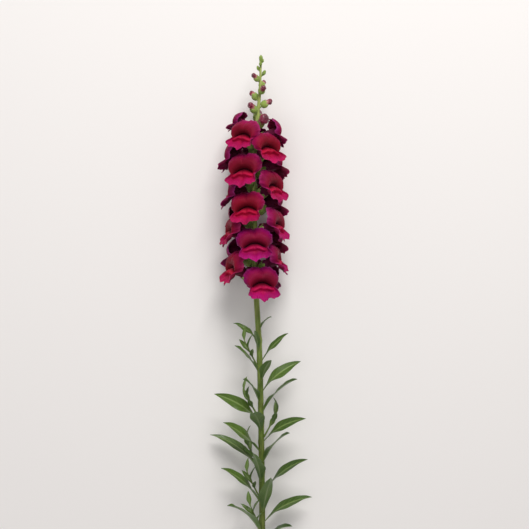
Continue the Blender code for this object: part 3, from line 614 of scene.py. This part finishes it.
def calyx_skin(growth):
    """Pedicel, then up the outside of the cup, over its five points and down the inside. The rim lies at
    t = notch + (tip - notch) times a five-peaked wave, and the wall thins towards it. The cup clears the
    corolla by the seat gap, widened by the cosine of 18 degrees as the solid's ten flat sides are."""
    path, radius = COROLLAS[growth["kind"]]
    angle = circle(CALYX_COLUMNS)
    peaks = (0.5 + 0.5 * np.cos(5 * angle)) ** SEPAL_SHARPNESS
    rim = CALYX_NOTCH + (CALYX_TIP - CALYX_NOTCH) * peaks
    keel = KEEL_HEIGHT * hump(np.abs((np.degrees(angle) + 36) % 72 - 36), 0, KEEL_SPREAD)
    flat = math.cos(math.pi / 10)
    root, end, base = np.array(PEDICEL_ROOT), np.array(PEDICEL_END) * PEDICEL_SHARE, np.array(path[0])
    section = path_rings(np.zeros(CALYX_COLUMNS), angle, path, PEDICEL_RADIUS) - base
    steps = np.linspace(0, 1, PEDICEL_ROWS)
    rows = [section * (1 + PEDICEL_FLARE - PEDICEL_FLARE * s) + root + (end - root) * s for s in steps]
    low_radius = (float(curve(CALYX_LOW, radius)) + SEAT_GAP) / flat + CALYX_WALL
    low = bezier(CALYX_LOW, path)
    cup = path_rings(np.full(CALYX_COLUMNS, CALYX_LOW), angle, path, low_radius) - low
    for s in CUP_STEPS:
        centre = end + (low - end) * (1 - math.cos(s * math.pi / 2))
        rows.append(centre + section * (1 - s) + cup * math.sin(s * math.pi / 2))
    for s in np.linspace(0, 1, WALL_ROWS):
        t = CALYX_LOW + (rim - CALYX_LOW) * s
        wall = CALYX_WALL * (1 - WALL_THINNING * s) + keel * (1 - KEEL_FADING * s)
        rows.append(path_rings(t, angle, path, (curve(t, radius) + SEAT_GAP) / flat + wall))
    for s in np.linspace(1, 0, INNER_ROWS):
        t = CALYX_LOW + (rim - CALYX_LOW) * s
        rows.append(path_rings(t, angle, path, (curve(t, radius) + SEAT_GAP) / flat))
    stretches = ((0, 0.3, PEDICEL_ROWS + len(CUP_STEPS)), (0.35, 1.0, WALL_ROWS), (1.0, 0.6, INNER_ROWS))
    along = np.concatenate([np.linspace(*stretch) for stretch in stretches])
    inner = base + (np.array(PEDICEL_END) - base) * 0.55
    return place_skin({"grid": np.array(rows), "first": root, "last": inner, "along": along}, growth)


def path_skin(rings, path, along):
    """Rings that follow a path, drawn to its two ends."""
    return {"grid": rings, "first": np.array(path[0]), "last": np.array(path[2]), "along": along}


def green_bud_skin(growth):
    """A shut bud: its tube swells to the middle, with five shallow seams where the sepals meet."""
    angle, t = circle(40), np.linspace(0, 0.985, 24)[:, None]
    fifth = np.abs(np.degrees(angle) % 72 - 36)
    seam = 1 - GREEN_SEAM * hump(fifth, 0, GREEN_SEAM_SPREAD) * ease(t, 0.25, 0.5)
    rings = path_rings(t, angle, GREEN_PATH, curve(t, GREEN_RADIUS) * seam)
    return place_skin(path_skin(rings, GREEN_PATH, np.linspace(0.1, 0.95, 24)), growth)


def bract_skin(growth):
    """A small pointed blade: a flattened oval section that widens to the middle and narrows to a point."""
    angle, t = circle(16), np.linspace(0, 0.98, 14)[:, None]
    middle = bezier(t, BRACT_PATH)
    rings = path_rings(t, angle, BRACT_PATH, 1.0) - middle
    width, depth = curve(t, BRACT_WIDTH)[..., None], curve(t, BRACT_DEPTH)[..., None]
    section = rings * SIDEWAYS * width + rings * (1 - SIDEWAYS) * depth
    return place_skin(path_skin(section + middle, BRACT_PATH, np.linspace(0.2, 0.9, 14)), growth)


def tip_bud_skin():
    """The bud that ends the stalk: a short tube, widest past its middle, with five seams."""
    start, end = stalk_point(TIP_ROOT), stalk_point(0.0) + np.array(TIP_END)
    path = (start, (start + end) / 2 + np.array(TIP_BOW), end)
    angle, t = circle(32), np.linspace(0, 0.97, 18)[:, None]
    seam = 1 - TIP_SEAM * hump(np.abs(np.degrees(angle) % 72 - 36), 0, TIP_SEAM_SPREAD)
    rings = path_rings(t, angle, path, curve(t, TIP_RADIUS) * seam)
    return path_skin(rings, path, np.linspace(0.2, 0.95, 18))


def lengthwise_streaks(tree, around, turn, low):
    """Fine lines along a skin: the sine of turn times the place round it, where that is above low."""
    return step_mask(tree, maths(tree, "SINE", times(tree, around, turn)), low, 1.0)


def finish_calyx():
    """Soft yellow-green with faint streaks, palest at the points of the sepals."""
    material = new_finish("calyx_skin", Specular_IOR_Level=0.3, Subsurface_Weight=0.1,
                          Subsurface_Radius=(0.4, 1.0, 0.2), Subsurface_Scale=0.001,
                          Sheen_Weight=0.15, Sheen_Roughness=0.5, Sheen_Tint=(0.8, 1.0, 0.6, 1.0))
    tree = material.node_tree
    around, along = skin_places(tree)
    mottle, grain = grain_of(tree, 1300.0)
    green = colour_ramp(tree, along, [
        (0.0, (0.36, 0.44, 0.10)), (0.45, (0.25, 0.36, 0.06)), (0.85, (0.33, 0.43, 0.09)),
        (1.0, (0.45, 0.50, 0.17)),
    ])
    shaded = mix_colour(tree, times(tree, mottle, 0.5), green, (0.13, 0.23, 0.035, 1.0))
    streak = lengthwise_streaks(tree, around, CALYX_STREAK_TURN, 0.5)
    colour = mix_colour(tree, times(tree, streak, 0.25), shaded, (0.36, 0.45, 0.16, 1.0))
    dress(material, colour, grain, 0.5, 0.68, maths(tree, "ADD", grain, streak), 0.00012)
    return material


def hair(base, normal, length):
    """One fine closed spike of three sides: its root ring is a little inside the skin that it stands on."""
    side = unit(np.cross(normal, np.array([0.31, 0.9, 0.3])))
    turn = circle(3)[:, None]
    section = np.cos(turn) * side + np.sin(turn) * np.cross(normal, side)
    ring = base - normal * HAIR_SINK + section * HAIR_RADIUS
    root, tip = base - normal * HAIR_ROOT, base + normal * length
    return {"grid": ring[None], "first": root, "last": tip, "along": 0.5}


def hairs_on(grid, count, draw):
    """Hairs at drawn points of a placed grid, square to it and away from its rows' middles."""
    skins = []
    for _ in range(count):
        row, column = draw.randrange(1, len(grid) - 1), draw.randrange(grid.shape[1])
        base, beside = grid[row, column], grid[row, (column + 1) % grid.shape[1]]
        normal = unit(np.cross(beside - base, grid[row + 1, column] - grid[row - 1, column]))
        outward = normal if normal @ (base - grid[row].mean(axis=0)) > 0 else -normal
        skins.append(hair(base, outward, draw.uniform(*CALYX_HAIR)))
    return skins


def stalk_hairs(count, draw):
    """Hairs at drawn places along and round the stalk among the flowers, square to it."""
    skins = []
    for _ in range(count):
        distance, azimuth = draw.uniform(*HAIRY_STRETCH), draw.uniform(0, 360)
        normal = stalk_axes(distance, np.array(azimuth))[2]
        base = stalk_point(distance) + normal * curve(distance, STALK_RADIUS)
        skins.append(hair(base, normal, draw.uniform(*STALK_HAIR)))
    return skins


calyx_skins = [tip_bud_skin()]
for growth in growths:
    calyx_skins.append(green_bud_skin(growth) if growth["kind"] == "green" else calyx_skin(growth))
bract_skins = [bract_skin(growth) for growth in growths if growth["kind"] == "floret"]
calyx_finish = finish_calyx()
build_piece("calyces", calyx_skins, calyx_finish, "stem_green", "stem")
build_piece("bracts", bract_skins, calyx_finish, "stem_green", "stem")
draw = random.Random(HAIR_SEED)
hairs = stalk_hairs(STALK_HAIRS, draw)
for skin in calyx_skins:
    hairs += hairs_on(skin["grid"][:CALYX_OUTER_ROWS], HAIRS_EACH, draw)
hair_colour = (0.60, 0.66, 0.42, 1.0)
fine_hair = new_finish("fine_hair", Base_Color=hair_colour, Roughness=0.4, Specular_IOR_Level=0.4)
build_piece("hairs", hairs, fine_hair, "stem_green", "stem")


# Florets. Each open corolla is one velvety crimson petal tube that parts into two lips. The upper lip is
# two round lobes rolled back at their edge. The lower lip swells into the palate, which shuts the throat,
# and spreads below it in three frilled lobes.
MOUTH_HALF_WIDTH, MOUTH_RISE, MOUTH_SAG, MOUTH_SLIT = 9.6, 1.6, 4.6, 0.2
LIP_REACH = (
    (0, 15.8), (14, 17.4), (32, 18.9), (56, 19.6), (80, 17.8),
    (104, 13.6), (122, 18.6), (138, 17.8), (158, 14.4), (180, 16.8),
)
UPPER_PROFILE = ((0, 0.8), (0.2, 4.0), (0.34, 4.8), (0.52, 4.3), (0.78, 0.8), (1.0, -4.4))
LOWER_PROFILE = ((0, 0.0), (0.2, 2.2), (0.34, 3.0), (0.52, 3.8), (0.78, 8.4), (1.0, 10.8))
PALATE_PROFILE = ((0, 0.0), (0.16, 3.8), (0.32, 4.6), (0.52, 1.2), (0.78, 0.2), (1.0, 0.0))
FOLD_SIDE, FOLD_MIDDLE, FOLD_WAVE = 0.6, 0.17, 0.025
LIP_THICKNESS, RIM_ROUND, LIP_COLUMNS, THROAT_DEPTH = 0.8, 0.07, 144, 1.6
SIDE_LIFT, LOBE_SWELL, NOTCH_DEPTH, EDGE_ROLL, RUFFLE, RUFFLES = 3.2, 0.8, 1.1, 0.9, 0.9, 7
FOLD_CREASE, FURROW_DEPTH, DIMPLE_DEPTH, LOBE_CREASE, TONGUE_RISE = 0.35, 1.3, 0.5, 1.2, 0.5
LIP_PARTING, LIFTED_SIDES, PALATE_SIDES, FOLD_TURN = (92, 118), (30, 85), (104, 146), (120, 172)
LOBE_END, LOBE_CREASE_SIDE, DIMPLE_SIDE, FRILLED = 78, 157, 146, (0.72, 1.0)
SCALLOPS, FRILLS = ((19, 0.018), (31, 0.012)), ((17, 0.34), (29, 0.2))
TUBE_GROOVE, TUBE_FINE_GROOVE, FLARE_START, FLARE_LENGTH, TUBE_START = 0.045, 0.02, 0.95, 0.33, 0.59
DEEP_BELOW, DEEP_BEHIND, PETAL_VEIN_TURN, PETAL_VEIN_SWAY = 1.5, 3.5, 300.0, 9.0


def lip_front(angle, q, growth):
    """Front of the face about the mouth. The angle runs round from the top, q from the mouth's slit to the
    lips' edge. In plan a point goes straight from the arched slit to the lobed outline; height is the
    upper or lower profile. On it lie the notch's crease, the lobes' swell, the palate with its furrow,
    dimples and arched fold, the creases between the lower lobes, and frills that grow towards the edge."""
    wrapped = np.abs((angle + math.pi) % (2 * math.pi) - math.pi)
    side, phase = np.degrees(wrapped), growth["phase"]
    lower = ease(side, *LIP_PARTING)
    frill = ease(q, *FRILLED)
    (coarse, deep), (fine, shallow) = SCALLOPS
    scallop = deep * np.sin(coarse * angle + 2 * phase) + shallow * np.sin(fine * angle + phase)
    reach = curve(side, LIP_REACH) * growth["open"] * (1 + frill * scallop)
    slit_x = MOUTH_HALF_WIDTH * np.sin(angle) * growth["open"]
    slit_y = MOUTH_RISE - MOUTH_SAG * np.sin(angle) ** 2 + MOUTH_SLIT * np.cos(angle)
    x = slit_x + (reach * np.sin(angle) - slit_x) * q
    y = slit_y + (reach * np.cos(angle) - slit_y) * q
    upper_z = curve(q, UPPER_PROFILE) + SIDE_LIFT * q * q * ease(side, *LIFTED_SIDES)
    upper_z -= NOTCH_DEPTH * hump(side, 0, 5.5) * ease(q, 0.25, 0.9)
    upper_z -= EDGE_ROLL * ease(q, 0.88, 1.0)
    swell = np.sin(math.pi * np.clip(side / LOBE_END, 0, 1)) * ease(q, 0.2, 0.6) * (1 - ease(q, 0.8, 1))
    upper_z += LOBE_SWELL * swell
    palate = ease(side, *PALATE_SIDES)
    fold = FOLD_SIDE - FOLD_MIDDLE * ease(side, *FOLD_TURN) + FOLD_WAVE * np.sin(6 * angle + 2 * phase)
    lower_z = curve(q, LOWER_PROFILE) + curve(q * 0.5 / fold, PALATE_PROFILE) * palate
    lower_z -= FOLD_CREASE * palate * hump(q, fold, 0.05)
    lower_z -= FURROW_DEPTH * hump(side, 180, 8) * hump(q, 0.27, 0.2)
    lower_z -= DIMPLE_DEPTH * hump(side, DIMPLE_SIDE, 7) * hump(q, 0.36, 0.16)
    lower_z -= LOBE_CREASE * hump(side, LOBE_CREASE_SIDE, 7) * ease(q, 0.5, 0.9)
    lower_z += TONGUE_RISE * hump(side, 180, 12) * ease(q, 0.6, 0.9)
    z = upper_z * (1 - lower) + lower_z * lower + RUFFLE * q ** 3 * np.sin(RUFFLES * angle + phase)
    (coarse, tall), (fine, low) = FRILLS
    z += frill * (tall * np.sin(coarse * angle + 3 * phase) + low * np.sin(fine * angle - 2 * phase))
    return np.stack([x, y, z], axis=-1)


def lip_back(angle, q, growth):
    """Back of a lip: the front moved in square to itself by a thickness that thins towards the edge."""
    step = 0.01
    across = lip_front(angle + step, q, growth) - lip_front(angle - step, q, growth)
    outward = lip_front(angle, q + step, growth) - lip_front(angle, q - step, growth)
    thickness = LIP_THICKNESS * (1 - 0.7 * ease(q, 0.6, 1.0))
    return lip_front(angle, q, growth) - unit(np.cross(across, outward)) * thickness[..., None]


def corolla_skin(growth):
    """Rows from a point deep in the mouth out over the lips, round their edge, back along their rear and
    down the grooved tube. Between the lips' rear and the tube each row is an eased mix of the two. Along
    the skin, the lips' edge lies at 1/3 and the tube starts at 2/3. The mark is the corolla's own tint."""
    angle = circle(LIP_COLUMNS)[None, :]
    mouth = np.array(TUBE_PATH[2])
    q = np.concatenate([np.linspace(0, 0.5, 16), np.linspace(0.53, 1.0, 17)])[:, None]
    front = mouth + lip_front(angle, q, growth)
    throat = front[:1] - np.array([0.0, 0.0, THROAT_DEPTH])
    back_q = np.linspace(1.0, 0.5, 14)[:, None]
    back = mouth + lip_back(angle, back_q + 0 * angle, growth)
    rim = (front[-1:] + back[:1]) / 2 + unit(front[-1:] - front[-2:-1]) * RIM_ROUND
    groove = 1 - TUBE_GROOVE * np.cos(5 * angle) - TUBE_FINE_GROOVE * np.cos(10 * angle)
    s = np.linspace(0.08, 1.0, 14)[:, None]
    share = ease(s, 0, 1)[..., None]
    t = FLARE_START - FLARE_LENGTH * s
    rear = mouth + lip_back(angle, 0.5 - 0.2 * s + 0 * angle, growth)
    flare = rear * (1 - share) + path_rings(t, angle, TUBE_PATH, curve(t, TUBE_RADIUS) * groove) * share
    t = np.linspace(TUBE_START, 0.04, 18)[:, None]
    tube = path_rings(t, angle, TUBE_PATH, curve(t, TUBE_RADIUS) * groove)
    lips_along = np.concatenate([[0.0], q[:, 0], [1.0], 2 - back_q[:, 0]]) / 3
    flare_along = (1.5 + 0.5 * s[:, 0]) / 3
    tube_along = (2 + (TUBE_START - t[:, 0]) / 0.6) / 3
    skin = {
        "grid": np.concatenate([throat, front, rim, back, flare, tube]),
        "first": mouth + np.array([0.0, MOUTH_RISE - DEEP_BELOW, -DEEP_BEHIND]),
        "last": np.array(TUBE_PATH[0]),
        "along": np.concatenate([lips_along, flare_along, tube_along]),
        "mark": growth["phase"] / (2 * math.pi),
    }
    return place_skin(skin, growth)


def finish_petal():
    """Velvet: crimson, near black deep in the mouth and darker up the lips towards it, which is painted
    shade in the mouth; more magenta towards the edges, which is painted sheen, with a pale band on the rim,
    which is a painted highlight; dark again on the lips' rear where it turns into the tube, painted shade
    under the lips; mauve on the streaked tube; and the lower lip's front brighter, which is painted light.
    Each corolla's mark turns it a little from crimson towards magenta."""
    material = new_finish("petal_velvet", Specular_IOR_Level=0.13, Subsurface_Weight=0.12,
                          Subsurface_Radius=(1.0, 0.1, 0.25), Subsurface_Scale=0.0012,
                          Sheen_Weight=0.06, Sheen_Roughness=0.35, Sheen_Tint=(1.0, 0.12, 0.5, 1.0))
    tree = material.node_tree
    around, along = skin_places(tree)
    mottle, grain = grain_of(tree, 1500.0)
    # Along the skin: near black deep in the mouth and darker up the lips' lower part, painted shade in the
    # mouth; more magenta near the edge, painted sheen; a pale band on the rim, a painted highlight; dark on
    # the lips' rear where it turns into the tube, painted shade under the lips; then paler mauve down the
    # tube.
    base = colour_ramp(tree, along, [
        (0.0, (0.05, 0.001, 0.006)), (0.03, (0.17, 0.001, 0.013)), (0.11, (0.25, 0.001, 0.020)),
        (0.22, (0.29, 0.001, 0.040)), (0.30, (0.33, 0.002, 0.090)), (0.333, (0.46, 0.04, 0.20)),
        (0.36, (0.22, 0.004, 0.05)), (0.50, (0.12, 0.002, 0.02)), (0.68, (0.16, 0.008, 0.05)),
        (0.85, (0.32, 0.06, 0.17)), (1.0, (0.42, 0.22, 0.24)),
    ])
    # Painted light: the lower lip's front, palate and lobes, is made brighter, crimson on the palate and
    # more magenta on the outer lobes, to stand for light that falls on it.
    lower = step_mask(tree, maths(tree, "ABSOLUTE", maths(tree, "SUBTRACT", around, 0.5)), 0.24, 0.16)
    front = times(tree, step_mask(tree, along, 0.345, 0.325), step_mask(tree, along, 0.02, 0.09))
    lower_lip_painted_light_mask = times(tree, lower, front)
    outer = step_mask(tree, along, 0.12, 0.26)
    lower_lip_painted_light = mix_colour(tree, outer, (0.62, 0.003, 0.070, 1.0), (0.52, 0.003, 0.130, 1.0))
    base = mix_colour(tree, times(tree, lower_lip_painted_light_mask, 0.75), base, lower_lip_painted_light)
    uneven = mix_colour(tree, mottle, (0.60, 0.50, 0.56, 1.0), (0.88, 0.80, 0.90, 1.0))
    tint = add(tree, "Attribute", out="Fac", attribute_name="mark")
    turned = mix_colour(tree, tint, (1.06, 0.9, 0.72, 1.0), (0.92, 1.0, 1.4, 1.0))
    base = mix_colour(tree, 1.0, mix_colour(tree, 1.0, base, uneven, "MULTIPLY"), turned, "MULTIPLY")
    spots = add(tree, "TexCoord", out="Object")
    wander = add(tree, "TexNoise", {"Vector": spots, "Scale": 160.0, "Detail": 2.0})
    sway = times(tree, wander, PETAL_VEIN_SWAY)
    lines = maths(tree, "SINE", maths(tree, "ADD", times(tree, around, PETAL_VEIN_TURN), sway))
    vein = times(tree, step_mask(tree, lines, 0.3, 1.0), step_mask(tree, along, 0.02, 0.2))
    rear = step_mask(tree, along, 0.6, 0.75)
    depth = maths(tree, "ADD", 0.13, times(tree, rear, 0.5))
    colour = mix_colour(tree, times(tree, vein, depth), base, (0.16, 0.001, 0.03, 1.0))
    height = maths(tree, "SUBTRACT", times(tree, grain, 0.7), times(tree, vein, 0.45))
    dress(material, colour, grain, 0.5, 0.72, height, 0.0002)
    return material


petal_velvet = finish_petal()
florets = [growth for growth in growths if growth["kind"] == "floret"][::-1]
for i, growth in enumerate(florets, 1):
    build_piece(f"corolla_{i:02d}", [corolla_skin(growth)], petal_velvet, "petal", f"floret_{i:02d}")


# Bud corollas. Young corollas still shut: small hooked noses that stand out of their calyces, and two
# round ones about to open. Glossy dark red, with a pale pink patch where they leave the calyx.
BUD_CREASE, BUD_CREASE_SIDE, BUD_CREASE_SPREAD, BUD_LOBES, BUD_STREAK_TURN = 0.12, 75.0, 9.0, 0.05, 157.0


def bud_skin(growth):
    """A closed tube that swells and bends to its tip, with a crease where its lips will part."""
    path, radius = COROLLAS[growth["kind"]]
    angle, t = circle(48), np.linspace(0.05, 0.985, 34)[:, None]
    side = np.abs((np.degrees(angle) + 180) % 360 - 180)
    parting = hump(side, BUD_CREASE_SIDE, BUD_CREASE_SPREAD) * ease(t, 0.45, 0.7) * (1 - ease(t, 0.9, 1.0))
    lobes = 1 + BUD_LOBES * np.cos(5 * angle + growth["phase"]) * ease(t, 0.3, 0.7)
    rings = path_rings(t, angle, path, curve(t, radius) * (1 - BUD_CREASE * parting) * lobes)
    return place_skin(path_skin(rings, path, t[:, 0]), growth)


def finish_bud():
    """Glossy dark red with fine streaks, over a pale pink foot."""
    material = new_finish("bud_skin", Specular_IOR_Level=0.5, Subsurface_Weight=0.1,
                          Subsurface_Radius=(1.0, 0.2, 0.25), Subsurface_Scale=0.001,
                          Coat_Weight=0.35, Coat_Roughness=0.2)
    tree = material.node_tree
    around, along = skin_places(tree)
    mottle, grain = grain_of(tree, 1200.0)
    base = colour_ramp(tree, along, [
        (0.0, (0.35, 0.34, 0.12)), (0.40, (0.55, 0.36, 0.24)), (0.52, (0.48, 0.13, 0.14)),
        (0.64, (0.22, 0.010, 0.040)), (0.88, (0.15, 0.003, 0.025)), (1.0, (0.08, 0.002, 0.015)),
    ])
    patchy = mix_colour(tree, times(tree, mottle, 0.4), base, (0.30, 0.01, 0.07, 1.0))
    streak = lengthwise_streaks(tree, around, BUD_STREAK_TURN, 0.3)
    colour = mix_colour(tree, times(tree, streak, 0.3), patchy, (0.16, 0.003, 0.03, 1.0))
    dress(material, colour, grain, 0.22, 0.36, maths(tree, "ADD", grain, streak), 0.0001)
    return material


bud_finish = finish_bud()
buds = [growth for growth in growths if growth["kind"] in ("nose", "hood")][::-1]
for i, growth in enumerate(buds, 1):
    build_piece(f"bud_corolla_{i:02d}", [bud_skin(growth)], bud_finish, "bud_petal", f"bud_{i:02d}")


# Studio. A plain pale sheet under the stem, a large soft light beyond the tip, so that what faces the tip
# is lit as it is in the photograph, and a weak fill. The camera looks straight down from two metres.
SHEET_HALF, SHEET_COLOUR = 4.0, (0.86, 0.835, 0.82, 1.0)
LIGHTS = (
    ("key", (0.25, 1.35, 1.35), (0.0, 0.05, 0.02), 0.9, 27.0, (1.0, 0.99, 0.97)),
    ("fill", (-0.5, -0.3, 2.2), (0.0, 0.05, 0.0), 1.6, 8.0, (1.0, 0.98, 0.99)),
)
ROOM_COLOUR, ROOM_LIGHT = (1.0, 0.98, 0.98, 1.0), 0.36
CAMERA_PLACE, CAMERA_SENSOR, PICTURE_WIDTH, PICTURE_DISTANCE = (0.0036, 0.0925, 2.03), 36.0, 0.529, 2.0


def make_studio():
    """Each light has a name, a place, a point that it faces, a size, a power and a colour. The lens takes in
    PICTURE_WIDTH at PICTURE_DISTANCE, which is the height of the camera over the flowers."""
    corners = [(x * SHEET_HALF, y * SHEET_HALF, 0.0) for x, y in ((-1, -1), (1, -1), (1, 1), (-1, 1))]
    sheet = bpy.data.meshes.new("sheet")
    sheet.from_pydata(corners, [], [(0, 1, 2, 3)])
    floor = put("sheet", sheet)
    pale = new_finish("pale_sheet", Base_Color=SHEET_COLOUR, Roughness=0.9, Specular_IOR_Level=0.1)
    sheet.materials.append(pale)
    for name, place, aim, size, power, colour in LIGHTS:
        light = bpy.data.lights.new(name, "AREA")
        light.size, light.energy, light.color = size, power, colour
        lamp = put(name, light)
        lamp.location = place
        lamp.rotation_euler = (Vector(aim) - Vector(place)).to_track_quat("-Z", "Y").to_euler()
    world = bpy.data.worlds.new("studio")
    world.use_nodes = True
    room = world.node_tree.nodes["Background"]
    room.inputs[0].default_value, room.inputs[1].default_value = ROOM_COLOUR, ROOM_LIGHT
    bpy.context.scene.world = world
    lens = bpy.data.cameras.new("camera")
    lens.sensor_width = CAMERA_SENSOR
    lens.lens = CAMERA_SENSOR * PICTURE_DISTANCE / PICTURE_WIDTH
    camera = put("camera", lens)
    camera.location = CAMERA_PLACE
    bpy.context.scene.camera = camera
    bpy.context.scene.view_settings.view_transform = "Standard"


make_studio()
bpy.context.view_layer.update()
